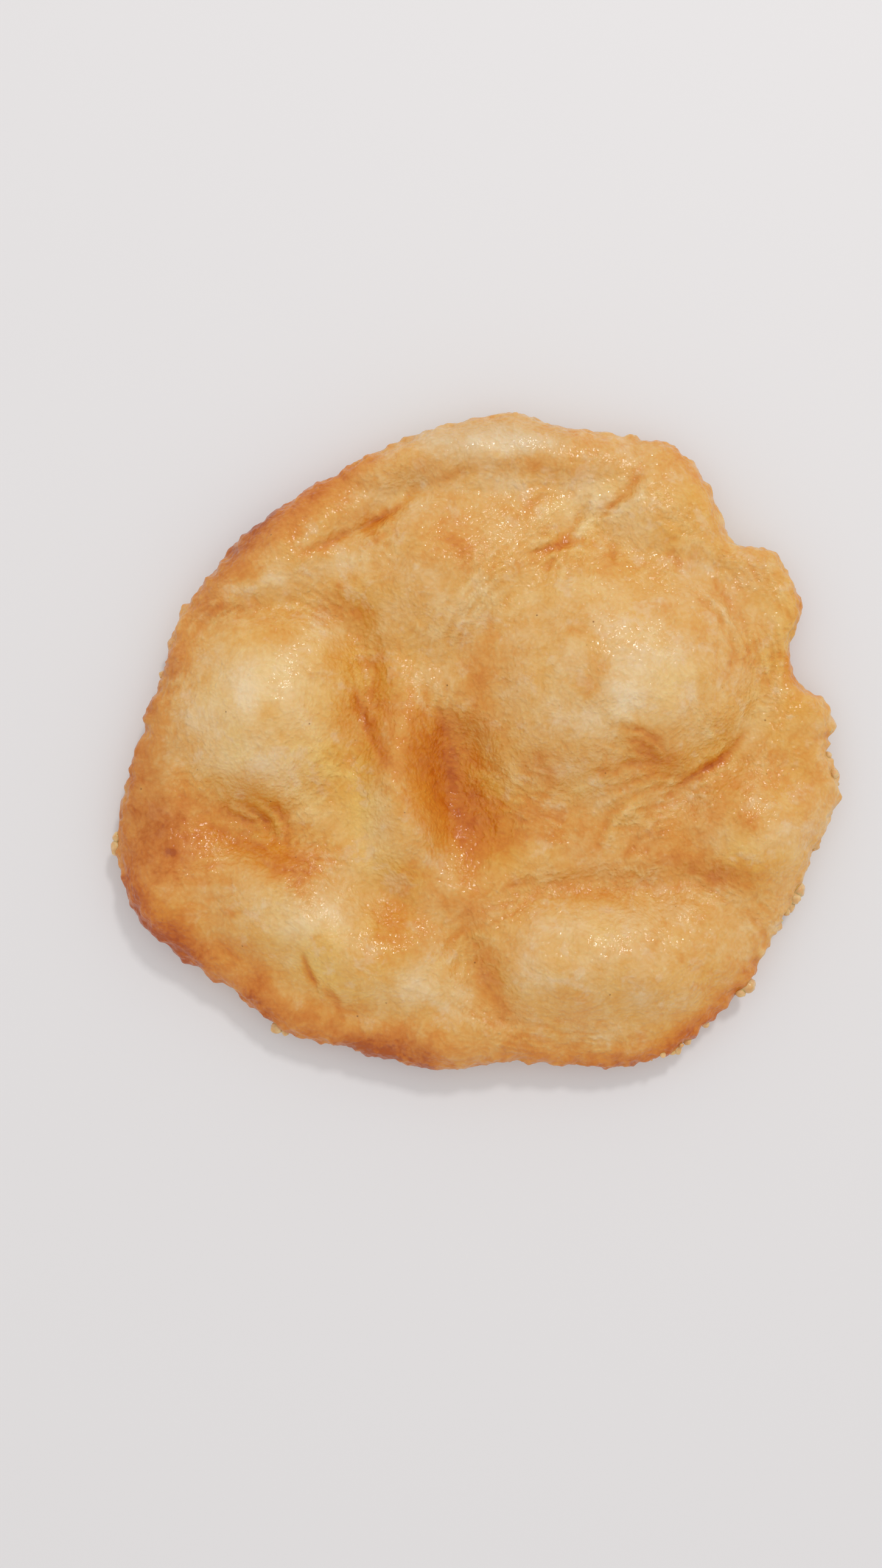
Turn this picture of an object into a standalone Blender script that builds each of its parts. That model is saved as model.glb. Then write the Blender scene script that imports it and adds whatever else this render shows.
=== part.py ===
"""Fry bread: one round of puffed, deep-fried dough, lying flat.

The bread is one solid. Its top is a thin sheet with air-filled blisters, pinched furrows between
them and a plump rim. Its underside bulges too, and rests where its bulges are flattened by the
table. Beads of dough that blew out of the rim are fused to it.

Every size below is in millimetres and every bearing in degrees, anticlockwise from +X. The mesh is
scaled to metres at the end. +Z is up, z = 0 is the table, and the origin is under the middle of the
bread's box.
"""

import math
from collections import namedtuple

import bmesh
import bpy
import numpy as np
from mathutils import Vector, noise

MM = 0.001

# ---- driving dimensions ----
RIM_RADIUS = 82.3  # the rim's distance from the middle, before its lobes
RIM_RIPPLE = 0.5  # how far the rim wanders in and out between the lobes
RIM_RIPPLE_SPACING = 7.0
RIM_LIFT = 6.5  # the rim's nose above the table
RIM_WAVE = 1.6  # how far the nose wanders up and down
RIM_WAVE_SPACING = 30.0
RIM_PLUMPNESS = 22.0  # a higher power rounds a narrower rim
SHEET_TOP = 12.5  # the top of the unblistered sheet at the rim
SHEET_CROWN = 2.0  # how much higher the sheet stands in the middle
SHEET_UNDER = 2.6  # the underside between the bulges it rests on
LUMP = 0.8  # height of the low lumps all over the top
LUMP_SPACING = 13.0
SMALL_LUMP_SPACING = 7.0  # the small lumps on them are half as high
UNDER_LUMP = 0.9  # height of the lumps on the underside
UNDER_LUMP_SPACING = 19.0
SMALL_UNDER_LUMP_SPACING = 11.0
WANDER = 3.2  # how far the relief's own outlines wander from true ovals
WANDER_SPACING = 21.0
FLANK = 1.8  # a higher power gives a swell longer, softer flanks
RUN_OUT = 0.7  # a lower power keeps a furrow deep until nearer its ends

TOP_SPACING = 2.7  # between the mesh's points on the top
UNDER_SPACING = 4.8  # and on the underside
SEED = Vector((3.7, 1.9, 8.3))  # where in the noise the lumps are read

# ---- the rim's outline: where it stands out from the round or falls short of it ----
Lobe = namedtuple("Lobe", "bearing spread out")
RIM_LOBES = (
    Lobe(330, 45, 7.4),  # the long right side
    Lobe(351, 6, 3.8),
    Lobe(5, 4, 4.2),
    Lobe(13, 7, -3.6),  # the bay above it
    Lobe(22, 2.5, 1.2),  # three scallops
    Lobe(27, 7, 5.8),
    Lobe(33, 2.5, 3.4),
    Lobe(38, 5, -2.0),
    Lobe(55, 10, 7.2),  # the top right corner
    Lobe(68, 6, 0.8),
    Lobe(83, 5, 2.5),
    Lobe(92, 7, 1.3),
    Lobe(120, 30, -6.0),  # the flat upper left side
    Lobe(149, 10, -1.0),
    Lobe(168, 5, -1.9),
    Lobe(178, 3, -1.4),
    Lobe(204, 20, 13.4),  # the left corner
    Lobe(236, 9, 3.6),
    Lobe(277, 10, -3.4),
    Lobe(296, 9, 2.0),
    Lobe(305, 10, 3.4),  # the bottom right corner
    Lobe(318, 3, 1.6),
    Lobe(329, 5, -0.9),
)

# ---- the top's relief ----
Swell = namedtuple("Swell", "x y length width turn rise")
BLISTERS = (
    Swell(33, 17, 42, 37, 10, 15.5),  # the great blister
    Swell(-52, 8, 29, 25, 70, 12.0),  # the left blister
    Swell(31, -54, 42, 22, 4, 11.0),  # the lower right blister
    Swell(-36, -47, 44, 17, -27, 8.5),  # the lower left ridge
    Swell(68, -22, 21, 19, 0, 6.0),  # the small blister at the right rim
    Swell(4, 71, 48, 12, 2, 4.5),  # the band along the top rim
    Swell(-50, 47, 30, 15, 40, 4.5),
    Swell(-18, -9, 34, 11, 95, 6.0),  # the saddle beside the middle pit
    Swell(-4, 42, 36, 22, 10, 6.5),
    Swell(48, 56, 27, 18, -35, 4.5),
    Swell(-75, -36, 22, 16, 60, 4.0),
    Swell(-1, -74, 19, 10, 0, 2.5),
)
BLISTER_BLEND = 3.0  # a higher power keeps a sharper valley where two blisters meet

DIPS = (
    Swell(-4, -14, 27, 14, -68, 7.5),  # the middle pit
    Swell(-56, -22, 18, 13, -25, 4.0),  # under the left blister
    Swell(-21, -40, 15, 11, 60, 2.6),
    Swell(36, -37, 36, 9, 4, 2.4),  # the valley over the lower right blister
    Swell(2, -56, 20, 9, -60, 3.0),
)

Furrow = namedtuple("Furrow", "path width depth")
FURROWS = (
    Furrow(((-41, 34), (-30, 31), (-26, 15), (-23, -5)), 5.6, 3.4),  # right of the left blister
    Furrow(((-42, 49), (-29, 53), (-20, 59), (-12, 65)), 3.2, 2.2),  # the fold at the upper left
    Furrow(((-12, 65), (0, 66), (14, 65)), 3.6, 1.0),
    Furrow(((75, 26), (71, 10), (62, -3), (50, -11), (38, -21)), 5.0, 2.4),  # right of the great
    Furrow(((30, 1), (41, -3), (50, -11)), 3.8, 1.7),  # the star crease
    Furrow(((14, 47), (22, 51), (28, 59)), 2.8, 1.3),
    Furrow(((34, 58), (41, 68)), 2.8, 1.0),
)

# ---- the bulges the bread rests on ----
UNDER_BULGES = (
    Swell(32, 20, 38, 30, 20, 4.0),
    Swell(-46, 14, 28, 22, 70, 4.6),
    Swell(16, -48, 40, 20, 8, 4.4),
    Swell(-52, -34, 24, 18, -20, 4.0),
    Swell(64, -18, 18, 24, 0, 4.0),
    Swell(-6, 54, 30, 16, 8, 4.4),
    Swell(-8, -4, 20, 26, 0, 2.6),
)

# ---- beads of dough at the rim ----
Bead = namedtuple("Bead", "x y radius")
RIM_BEADS = (
    Bead(87.6, 4.6, 2.1),
    Bead(90.1, -8.1, 1.6),
    Bead(81.7, -37.4, 2.2),
    Bead(80.1, -39.3, 1.9),
    Bead(78.7, -41.0, 1.4),
    Bead(68.1, -61.2, 2.0),
    Bead(66.4, -62.9, 1.5),
    Bead(56.1, -73.0, 1.2),
    Bead(49.6, -76.5, 1.6),
    Bead(-49.6, -71.0, 1.7),
    Bead(-88.9, -26.2, 1.9),
)
BEAD_LEVEL = 2  # an icosphere's level, which gives 80 triangles


def gap_between(bearings, bearing):
    """Degrees from bearing to each of bearings, from -180 to 180."""
    return (bearings - bearing + 180.0) % 360.0 - 180.0


def rim_radius(bearings):
    """The rim's distance from the middle at these bearings."""
    radius = np.full_like(bearings, RIM_RADIUS)
    for lobe in RIM_LOBES:
        radius += lobe.out * np.exp(-((gap_between(bearings, lobe.bearing) / lobe.spread) ** 2))
    turn = np.radians(bearings)
    circle = RIM_RADIUS * np.cos(turn), RIM_RADIUS * np.sin(turn)
    return radius + RIM_RIPPLE * noise_at(*circle, RIM_RIPPLE_SPACING)


def outline_shift():
    """What moves the middle of the outline's box onto the origin."""
    bearings = np.arange(0.0, 360.0, 0.25)
    turn = np.radians(bearings)
    outline = rim_radius(bearings)[:, None] * np.column_stack((np.cos(turn), np.sin(turn)))
    return -(outline.min(axis=0) + outline.max(axis=0)) / 2


def noise_at(x, y, wavelength):
    """Smooth noise of about this wavelength, from -1 to 1, at each point."""
    return np.array([noise.noise(SEED + Vector((a, b, 0.0)) / wavelength) for a, b in zip(x, y)])


def wander(x, y):
    """The points the relief is read at, shifted so that no oval or furrow is a true one."""
    shift_x = WANDER * noise_at(x, y, WANDER_SPACING)
    shift_y = WANDER * noise_at(y, -x, WANDER_SPACING)
    return x + shift_x, y + shift_y


def swell_height(swell, x, y):
    """A plump dome: steep at its flanks, level at its top, and smooth where it meets the sheet."""
    turn = math.radians(swell.turn)
    along = (x - swell.x) * math.cos(turn) + (y - swell.y) * math.sin(turn)
    across = (y - swell.y) * math.cos(turn) - (x - swell.x) * math.sin(turn)
    reach = np.clip((along / swell.length) ** 2 + (across / swell.width) ** 2, 0.0, 1.0)
    return swell.rise * (1.0 - reach) ** FLANK


def blend(swells, x, y):
    """Several swells as one height, which keeps a soft valley where two of them meet."""
    powers = sum(swell_height(swell, x, y) ** BLISTER_BLEND for swell in swells)
    return powers ** (1.0 / BLISTER_BLEND)


def furrow_depth(furrow, x, y):
    """A rounded trough along the furrow's path, which runs out to nothing at both ends."""
    depth = np.zeros_like(x)
    legs = len(furrow.path) - 1
    for leg, (start, end) in enumerate(zip(furrow.path, furrow.path[1:])):
        run = np.subtract(end, start).astype(float)
        share = ((x - start[0]) * run[0] + (y - start[1]) * run[1]) / (run @ run)
        share = np.clip(share, 0.0, 1.0)
        away = np.hypot(x - start[0] - share * run[0], y - start[1] - share * run[1])
        fade = np.sin(np.pi * np.clip((leg + share) / legs, 0.04, 0.96)) ** RUN_OUT
        depth = np.maximum(depth, furrow.depth * fade * np.exp(-((away / furrow.width) ** 2)))
    return depth


def top_height(x, y, reach):
    """The top skin's height. reach is 0 in the middle and 1 at the rim."""
    lumps = LUMP * (noise_at(x, y, LUMP_SPACING) + 0.5 * noise_at(y, -x, SMALL_LUMP_SPACING))
    x, y = wander(x, y)
    troughs = blend(DIPS, x, y) + sum(furrow_depth(furrow, x, y) for furrow in FURROWS)
    return SHEET_TOP + SHEET_CROWN * (1.0 - reach**2) + blend(BLISTERS, x, y) - troughs + lumps


def under_height(x, y):
    """The underside's height, with its bulges reaching below the table that will flatten them."""
    small_lumps = noise_at(-x, y, SMALL_UNDER_LUMP_SPACING)
    lumps = UNDER_LUMP * (noise_at(y, -x, UNDER_LUMP_SPACING) + 0.5 * small_lumps)
    x, y = wander(x, y)
    return SHEET_UNDER - blend(UNDER_BULGES, x, y) + lumps


def nose_height(bearings):
    """The height of the rim's nose, which wanders round the bread."""
    turn = np.radians(bearings)
    circle = RIM_RADIUS * np.cos(turn), RIM_RADIUS * np.sin(turn)
    return RIM_LIFT + RIM_WAVE * noise_at(*circle, RIM_WAVE_SPACING)


def ring_reaches(spacing):
    """How far out each ring of points lies, from 0 in the middle to 1 at the rim, closing up there."""
    steps = round(RIM_RADIUS / spacing)
    share = np.linspace(0.0, 1.0, steps + 1)
    flat_share, flat_reach = 0.84, 0.92
    past = np.clip((share - flat_share) / (1.0 - flat_share), 0.0, 1.0)
    return np.where(
        share < flat_share,
        share * flat_reach / flat_share,
        flat_reach + (1.0 - flat_reach) * (1.0 - (1.0 - past) ** 2),
    )


def skin_points(bearings, reach, upper):
    """Points of the top or the underside, on the ring at this reach."""
    turn = np.radians(bearings)
    radius = rim_radius(bearings) * reach
    x, y = radius * np.cos(turn), radius * np.sin(turn)
    nose = nose_height(bearings)
    skin = top_height(x, y, reach) if upper else under_height(x, y)
    fullness = math.sqrt(1.0 - reach**RIM_PLUMPNESS)
    return np.column_stack((x, y, np.maximum(nose + (skin - nose) * fullness, 0.0)))


def add_skin(mesh, rim, spacing, upper):
    """Covers one side with rings of points, from the rim's ring in to a point in the middle."""
    outer, outer_bearings = rim
    for level, reach in enumerate(ring_reaches(spacing)[-2::-1]):
        count = max(1, round(math.tau * RIM_RADIUS * reach / spacing))
        bearings = (np.arange(count) + 0.5 * (level % 2 == 0)) * 360.0 / count
        inner = [mesh.verts.new(p) for p in skin_points(bearings, float(reach), upper)]
        zip_rings(mesh, outer, outer_bearings, inner, bearings, upper)
        outer, outer_bearings = inner, bearings


def zip_rings(mesh, outer, outer_bearings, inner, inner_bearings, upper):
    """Triangles between two rings whose point counts may differ."""
    i = j = 0
    last_out, last_in = len(outer), len(inner)
    while i < last_out or j < last_in:
        next_out = outer_bearings[(i + 1) % last_out] + 360.0 * ((i + 1) // last_out)
        next_in = inner_bearings[(j + 1) % last_in] + 360.0 * ((j + 1) // last_in)
        step_out = i < last_out and (j >= last_in or last_in == 1 or next_out <= next_in)
        if step_out:
            face = (outer[i % last_out], outer[(i + 1) % last_out], inner[j % last_in])
            i += 1
        else:
            face = (outer[i % last_out], inner[(j + 1) % last_in], inner[j % last_in])
            j += 1
        if len(set(face)) == 3:
            mesh.faces.new(face if upper else face[::-1])


def bread_mesh():
    """The whole bread as one closed mesh, in millimetres."""
    mesh = bmesh.new()
    count = round(math.tau * RIM_RADIUS / TOP_SPACING)
    bearings = np.arange(count) * 360.0 / count
    rim = [mesh.verts.new(p) for p in skin_points(bearings, 1.0, True)]
    add_skin(mesh, (rim, bearings), TOP_SPACING, True)
    add_skin(mesh, (rim, bearings), UNDER_SPACING, False)
    bmesh.ops.beautify_fill(mesh, faces=mesh.faces, edges=mesh.edges, method="ANGLE")
    return mesh


def finish_mesh(mesh, name):
    """An object of this mesh, moved over the origin and scaled to metres."""
    shift = outline_shift()
    bmesh.ops.translate(mesh, verts=mesh.verts, vec=(shift[0], shift[1], 0.0))
    bmesh.ops.scale(mesh, verts=mesh.verts, vec=(MM, MM, MM))
    data = bpy.data.meshes.new(name)
    mesh.to_mesh(data)
    mesh.free()
    data.shade_smooth()
    return bpy.data.objects.new(name, data)


def add_beads(bread):
    """Fuses the beads to the rim, into which each is a little sunk."""
    beads = bpy.data.collections.new("beads")
    for bead in RIM_BEADS:
        bearing = np.degrees(np.arctan2([bead.y], [bead.x]))
        middle = Vector((bead.x, bead.y, nose_height(bearing)[0]))
        mesh = bmesh.new()
        bmesh.ops.create_icosphere(mesh, subdivisions=BEAD_LEVEL, radius=bead.radius)
        bmesh.ops.translate(mesh, verts=mesh.verts, vec=middle)
        beads.objects.link(finish_mesh(mesh, "bead"))
    fuse = bread.modifiers.new("fuse beads", "BOOLEAN")
    fuse.operation = "UNION"
    fuse.operand_type = "COLLECTION"
    fuse.collection = beads
    fuse.solver = "EXACT"
    graph = bpy.context.evaluated_depsgraph_get()
    fused = bpy.data.meshes.new_from_object(bread.evaluated_get(graph))
    bread.modifiers.clear()
    bread.data = fused
    for bead in list(beads.objects):
        bpy.data.objects.remove(bead)
    bpy.data.collections.remove(beads)


def crust_material():
    """Golden fried crust, with a thin film of oil."""
    crust = bpy.data.materials.new("fried crust")
    crust.use_nodes = True
    surface = crust.node_tree.nodes["Principled BSDF"]
    surface.inputs["Base Color"].default_value = (0.66, 0.36, 0.12, 1.0)
    surface.inputs["Roughness"].default_value = 0.45
    surface.inputs["Metallic"].default_value = 0.0
    return crust


def main():
    for old in list(bpy.data.objects):
        bpy.data.objects.remove(old)
    bread = finish_mesh(bread_mesh(), "fry_bread")
    bpy.context.scene.collection.objects.link(bread)
    add_beads(bread)
    bread.data.materials.clear()
    bread.data.materials.append(crust_material())


main()
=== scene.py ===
"""Fry bread: the fried skin over its solid, the bubbles at its rim, and the table it lies on.

The skin repeats the solid's own form, in millimetres, and adds what frying does to it: wrinkles
round the blisters, torn lips, pimples and a fluted rim. Its browning and golden tint are worked out
point by point from how each place fried, with painted light and shade on the wrinkles, in the
hollows, along the rim and at a few shaded places; the materials add what is finer than that.
"""
import math
import random
from collections import namedtuple

import bmesh
import bpy
import numpy as np
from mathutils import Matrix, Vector, noise


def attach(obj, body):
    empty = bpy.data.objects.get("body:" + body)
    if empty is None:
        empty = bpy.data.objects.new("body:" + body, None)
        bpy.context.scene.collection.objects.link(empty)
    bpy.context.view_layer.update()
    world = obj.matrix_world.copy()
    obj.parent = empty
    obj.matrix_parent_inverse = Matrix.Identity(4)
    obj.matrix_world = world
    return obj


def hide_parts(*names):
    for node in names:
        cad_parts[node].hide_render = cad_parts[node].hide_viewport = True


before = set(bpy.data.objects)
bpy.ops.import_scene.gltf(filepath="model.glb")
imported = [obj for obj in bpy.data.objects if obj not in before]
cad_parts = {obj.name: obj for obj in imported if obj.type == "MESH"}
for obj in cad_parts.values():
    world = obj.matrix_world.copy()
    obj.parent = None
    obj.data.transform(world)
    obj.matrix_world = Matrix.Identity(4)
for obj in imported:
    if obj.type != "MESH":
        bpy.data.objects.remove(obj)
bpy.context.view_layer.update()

MM = 0.001

# ---------------------------------------------------------------- the bread's form, as in the solid

RIM_RADIUS = 82.3  # the rim's distance from the middle, before its lobes
RIM_RIPPLE = 0.5  # how far the rim wanders in and out between the lobes
RIM_RIPPLE_SPACING = 7.0
RIM_LIFT = 6.5  # the rim's nose above the table
RIM_WAVE = 1.6  # how far the nose wanders up and down
RIM_WAVE_SPACING = 30.0
RIM_PLUMPNESS = 22.0  # a higher power rounds a narrower rim
SHEET_TOP = 12.5  # the top of the unblistered sheet at the rim
SHEET_CROWN = 2.0  # how much higher the sheet stands in the middle
SHEET_UNDER = 2.6  # the underside between the bulges it rests on
LUMP = 0.8  # height of the low lumps all over the top
LUMP_SPACING = 13.0
SMALL_LUMP_SPACING = 7.0  # the small lumps on them are half as high
UNDER_LUMP = 0.9  # height of the lumps on the underside
UNDER_LUMP_SPACING = 19.0
SMALL_UNDER_LUMP_SPACING = 11.0
WANDER = 3.2  # how far the relief's own outlines wander from true ovals
WANDER_SPACING = 21.0
FLANK = 1.8  # a higher power gives a swell longer, softer flanks
RUN_OUT = 0.7  # a lower power keeps a furrow deep until nearer its ends
SEED = Vector((3.7, 1.9, 8.3))  # where in the noise the lumps are read

# Bearings and spreads are in degrees from +X, and out is how far a lobe pushes the rim out.
Lobe = namedtuple("Lobe", "bearing spread out")
RIM_LOBES = (
    Lobe(330, 45, 7.4),  # the long right side
    Lobe(351, 6, 3.8),
    Lobe(5, 4, 4.2),
    Lobe(13, 7, -3.6),  # the bay above it
    Lobe(22, 2.5, 1.2),  # three scallops
    Lobe(27, 7, 5.8),
    Lobe(33, 2.5, 3.4),
    Lobe(38, 5, -2.0),
    Lobe(55, 10, 7.2),  # the top right corner
    Lobe(68, 6, 0.8),
    Lobe(83, 5, 2.5),
    Lobe(92, 7, 1.3),
    Lobe(120, 30, -6.0),  # the flat upper left side
    Lobe(149, 10, -1.0),
    Lobe(168, 5, -1.9),
    Lobe(178, 3, -1.4),
    Lobe(204, 20, 13.4),  # the left corner
    Lobe(236, 9, 3.6),
    Lobe(277, 10, -3.4),
    Lobe(296, 9, 2.0),
    Lobe(305, 10, 3.4),  # the bottom right corner
    Lobe(318, 3, 1.6),
    Lobe(329, 5, -0.9),
)

# An oval swell, or a dip: its middle, half its length and width, its turn in degrees and its rise
Swell = namedtuple("Swell", "x y length width turn rise")
GREAT_BLISTER = Swell(33, 17, 42, 37, 10, 15.5)
LEFT_BLISTER = Swell(-52, 8, 29, 25, 70, 12.0)
LOWER_BLISTER = Swell(31, -54, 42, 22, 4, 11.0)
BLISTERS = (
    GREAT_BLISTER,
    LEFT_BLISTER,
    LOWER_BLISTER,
    Swell(-36, -47, 44, 17, -27, 8.5),  # the lower left ridge
    Swell(68, -22, 21, 19, 0, 6.0),  # the small blister at the right rim
    Swell(4, 71, 48, 12, 2, 4.5),  # the band along the top rim
    Swell(-50, 47, 30, 15, 40, 4.5),
    Swell(-18, -9, 34, 11, 95, 6.0),  # the saddle beside the middle pit
    Swell(-4, 42, 36, 22, 10, 6.5),
    Swell(48, 56, 27, 18, -35, 4.5),
    Swell(-75, -36, 22, 16, 60, 4.0),
    Swell(-1, -74, 19, 10, 0, 2.5),
)
BLISTER_BLEND = 3.0  # a higher power keeps a sharper valley where two blisters meet

DIPS = (
    Swell(-4, -14, 27, 14, -68, 7.5),  # the middle pit
    Swell(-56, -22, 18, 13, -25, 4.0),  # under the left blister
    Swell(-21, -40, 15, 11, 60, 2.6),
    Swell(36, -37, 36, 9, 4, 2.4),  # the valley over the lower right blister
    Swell(2, -56, 20, 9, -60, 3.0),
)

Furrow = namedtuple("Furrow", "path width depth")
FURROWS = (
    Furrow(((-41, 34), (-30, 31), (-26, 15), (-23, -5)), 5.6, 3.4),  # right of the left blister
    Furrow(((-42, 49), (-29, 53), (-20, 59), (-12, 65)), 3.2, 2.2),  # the fold at the upper left
    Furrow(((-12, 65), (0, 66), (14, 65)), 3.6, 1.0),
    Furrow(((75, 26), (71, 10), (62, -3), (50, -11), (38, -21)), 5.0, 2.4),  # right of the great
    Furrow(((30, 1), (41, -3), (50, -11)), 3.8, 1.7),  # the star crease
    Furrow(((14, 47), (22, 51), (28, 59)), 2.8, 1.3),
    Furrow(((34, 58), (41, 68)), 2.8, 1.0),
)

UNDER_BULGES = (
    Swell(32, 20, 38, 30, 20, 4.0),
    Swell(-46, 14, 28, 22, 70, 4.6),
    Swell(16, -48, 40, 20, 8, 4.4),
    Swell(-52, -34, 24, 18, -20, 4.0),
    Swell(64, -18, 18, 24, 0, 4.0),
    Swell(-6, 54, 30, 16, 8, 4.4),
    Swell(-8, -4, 20, 26, 0, 2.6),
)


def gap_between(bearings, bearing):
    """Degrees from bearing to each of bearings, from -180 to 180."""
    return (bearings - bearing + 180.0) % 360.0 - 180.0


def noise_at(x, y, wavelength, z=0.0):
    """Smooth noise of about this wavelength, from -1 to 1, at each point."""
    places = np.column_stack((x, y, np.broadcast_to(z, np.shape(x)))) / wavelength + SEED
    return np.array([noise.noise(place) for place in places])


def rim_radius(bearings):
    """The rim's distance from the middle at these bearings."""
    radius = np.full_like(bearings, RIM_RADIUS)
    for lobe in RIM_LOBES:
        radius += lobe.out * np.exp(-((gap_between(bearings, lobe.bearing) / lobe.spread) ** 2))
    turn = np.radians(bearings)
    circle = RIM_RADIUS * np.cos(turn), RIM_RADIUS * np.sin(turn)
    return radius + RIM_RIPPLE * noise_at(*circle, RIM_RIPPLE_SPACING)


def outline_shift():
    """What moves the middle of the outline's box onto the origin."""
    bearings = np.arange(0.0, 360.0, 0.25)
    turn = np.radians(bearings)
    outline = rim_radius(bearings)[:, None] * np.column_stack((np.cos(turn), np.sin(turn)))
    return -(outline.min(axis=0) + outline.max(axis=0)) / 2


def wander(x, y):
    """The points the relief is read at, shifted so that no oval or furrow is a true one."""
    shift_x = WANDER * noise_at(x, y, WANDER_SPACING)
    shift_y = WANDER * noise_at(y, -x, WANDER_SPACING)
    return x + shift_x, y + shift_y


def oval_reach(swell, x, y):
    """How far out in the swell's oval each point lies: 0 in its middle, 1 on its outline."""
    turn = math.radians(swell.turn)
    along = (x - swell.x) * math.cos(turn) + (y - swell.y) * math.sin(turn)
    across = (y - swell.y) * math.cos(turn) - (x - swell.x) * math.sin(turn)
    return np.hypot(along / swell.length, across / swell.width)


def swell_height(swell, x, y):
    """A plump dome: steep at its flanks, level at its top, and smooth where it meets the sheet."""
    return swell.rise * (1.0 - np.clip(oval_reach(swell, x, y), 0.0, 1.0) ** 2) ** FLANK


def blend(swells, x, y):
    """Several swells as one height, which keeps a soft valley where two of them meet."""
    powers = sum(swell_height(swell, x, y) ** BLISTER_BLEND for swell in swells)
    return powers ** (1.0 / BLISTER_BLEND)


def path_legs(path, x, y):
    """For each leg of a path: how far along the whole path each point lies, and how far to its left."""
    legs = len(path) - 1
    for leg, (start, end) in enumerate(zip(path, path[1:])):
        run = np.subtract(end, start).astype(float)
        share = ((x - start[0]) * run[0] + (y - start[1]) * run[1]) / (run @ run)
        share = np.clip(share, 0.0, 1.0)
        off_x, off_y = x - start[0] - share * run[0], y - start[1] - share * run[1]
        side = np.sign(run[0] * off_y - run[1] * off_x)
        yield (leg + share) / legs, np.hypot(off_x, off_y) * side


def end_fade(share, margin, power):
    """1 halfway along a path, falling off to its ends, where margin keeps it above nothing."""
    return np.sin(np.pi * np.clip(share, margin, 1.0 - margin)) ** power


def furrow_depth(furrow, x, y):
    """A rounded trough along the furrow's path, which runs out to nothing at both ends."""
    depth = np.zeros_like(x)
    for share, away in path_legs(furrow.path, x, y):
        fade = end_fade(share, margin=0.04, power=RUN_OUT)
        depth = np.maximum(depth, furrow.depth * fade * np.exp(-((away / furrow.width) ** 2)))
    return depth


def troughs(x, y):
    """How deep the dips and furrows are together."""
    return blend(DIPS, x, y) + sum(furrow_depth(furrow, x, y) for furrow in FURROWS)


def top_height(x, y, reach):
    """The top skin's height. reach is 0 in the middle and 1 at the rim."""
    lumps = LUMP * (noise_at(x, y, LUMP_SPACING) + 0.5 * noise_at(y, -x, SMALL_LUMP_SPACING))
    x, y = wander(x, y)
    sheet = SHEET_TOP + SHEET_CROWN * (1.0 - reach**2)
    return sheet + blend(BLISTERS, x, y) - troughs(x, y) + lumps


def under_height(x, y):
    """The underside's height, with its bulges reaching below the table that will flatten them."""
    small_lumps = noise_at(-x, y, SMALL_UNDER_LUMP_SPACING)
    lumps = UNDER_LUMP * (noise_at(y, -x, UNDER_LUMP_SPACING) + 0.5 * small_lumps)
    x, y = wander(x, y)
    return SHEET_UNDER - blend(UNDER_BULGES, x, y) + lumps


def nose_height(bearings):
    """The height of the rim's nose, which wanders round the bread."""
    turn = np.radians(bearings)
    circle = RIM_RADIUS * np.cos(turn), RIM_RADIUS * np.sin(turn)
    return RIM_LIFT + RIM_WAVE * noise_at(*circle, RIM_WAVE_SPACING)


# ---------------------------------------------------------------- what frying adds to the form

TOP_SPACING = 0.57  # between the fine skin's points on the top
UNDER_SPACING = 1.0  # and on the underside

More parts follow.
